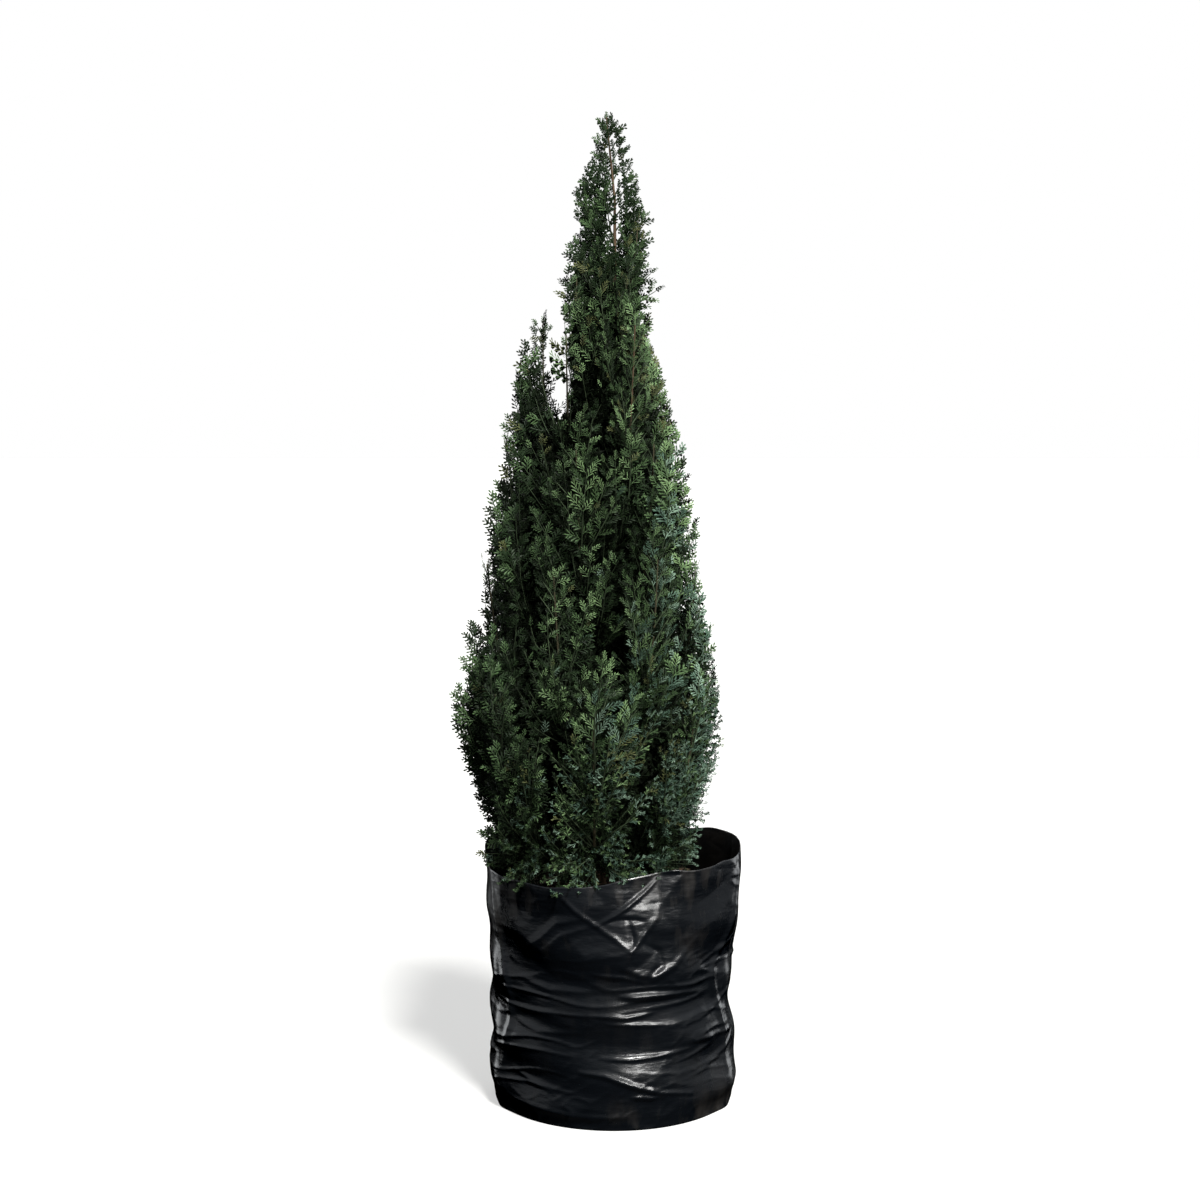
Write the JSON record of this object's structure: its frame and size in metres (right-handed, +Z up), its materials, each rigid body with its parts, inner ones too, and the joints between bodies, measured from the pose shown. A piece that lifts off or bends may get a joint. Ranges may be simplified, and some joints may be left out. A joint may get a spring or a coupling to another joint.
{
  "type": "potted conifer",
  "caption": "Young columnar Lawson cypress with feathery upright plumes, growing in a round black polythene nursery bag.",
  "frame": {"origin": "middle of the bag's flat underside, on the ground", "axes": "+Z up along the plant; -Y is the side that the picture shows, +X its right"},
  "size_m": [0.3399, 0.3237, 1.1986],
  "materials": {
    "film": "satin",
    "potting_mix": "matte",
    "bark": "matte",
    "foliage": "matte"
  },
  "bodies": {
    "root": {"bag": "film", "potting_mix": "potting_mix", "trunk": "bark", "bough_skirt_1": "bark", "bough_skirt_2": "bark", "bough_skirt_3": "bark", "bough_skirt_4": "bark", "bough_skirt_5": "bark", "bough_skirt_6": "bark", "bough_skirt_7": "bark", "bough_lower_1": "bark", "bough_lower_2": "bark", "bough_lower_3": "bark", "bough_lower_4": "bark", "bough_lower_5": "bark", "bough_lower_6": "bark", "bough_lower_7": "bark", "bough_middle_1": "bark", "bough_middle_2": "bark", "bough_middle_3": "bark", "bough_middle_4": "bark", "bough_middle_5": "bark", "bough_middle_6": "bark", "bough_spire": "bark", "bough_plume": "bark", "bough_shoulder": "bark", "bough_nape": "bark", "bough_breast": "bark", "foliage_skirt_1": "foliage", "foliage_skirt_2": "foliage", "foliage_skirt_3": "foliage", "foliage_skirt_4": "foliage", "foliage_skirt_5": "foliage", "foliage_skirt_6": "foliage", "foliage_skirt_7": "foliage", "foliage_lower_1": "foliage", "foliage_lower_2": "foliage", "foliage_lower_3": "foliage", "foliage_lower_4": "foliage", "foliage_lower_5": "foliage", "foliage_lower_6": "foliage", "foliage_lower_7": "foliage", "foliage_middle_1": "foliage", "foliage_middle_2": "foliage", "foliage_middle_3": "foliage", "foliage_middle_4": "foliage", "foliage_middle_5": "foliage", "foliage_middle_6": "foliage", "foliage_collar_1": "foliage", "foliage_collar_2": "foliage", "foliage_collar_3": "foliage", "foliage_spire": "foliage", "foliage_plume": "foliage", "foliage_shoulder": "foliage", "foliage_nape": "foliage", "foliage_breast": "foliage", "foliage_leader_left": "foliage", "foliage_leader_right": "foliage", "foliage_leader_top": "foliage"}
  },
  "joints": []
}
